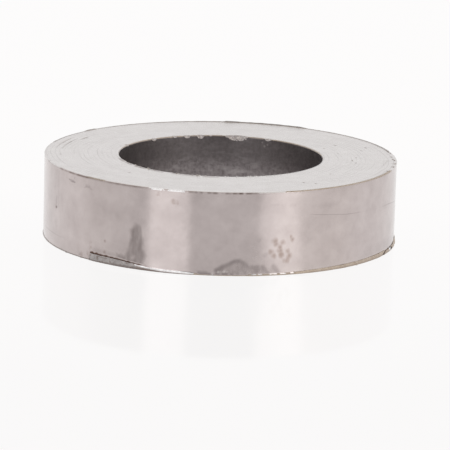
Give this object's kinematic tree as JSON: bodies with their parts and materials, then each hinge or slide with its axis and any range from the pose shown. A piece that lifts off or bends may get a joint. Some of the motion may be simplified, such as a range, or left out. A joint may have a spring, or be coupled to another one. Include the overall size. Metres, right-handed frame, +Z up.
{
  "type": "graphite packing ring",
  "caption": "Flat-faced ring of die-formed flexible graphite that seals a valve stem in its stuffing box, with worn edges and torn flash.",
  "frame": {"origin": "centre of the lower face, on the ring's axis", "axes": "+Z up along the ring's axis, +X to the right and -Y to the front as seen in the picture"},
  "size_m": [0.0382, 0.0382, 0.0089],
  "materials": {
    "graphite": "die-pressed graphite, satin with a grey metallic sheen"
  },
  "bodies": {
    "root": {"packing_ring": "graphite"}
  },
  "joints": []
}
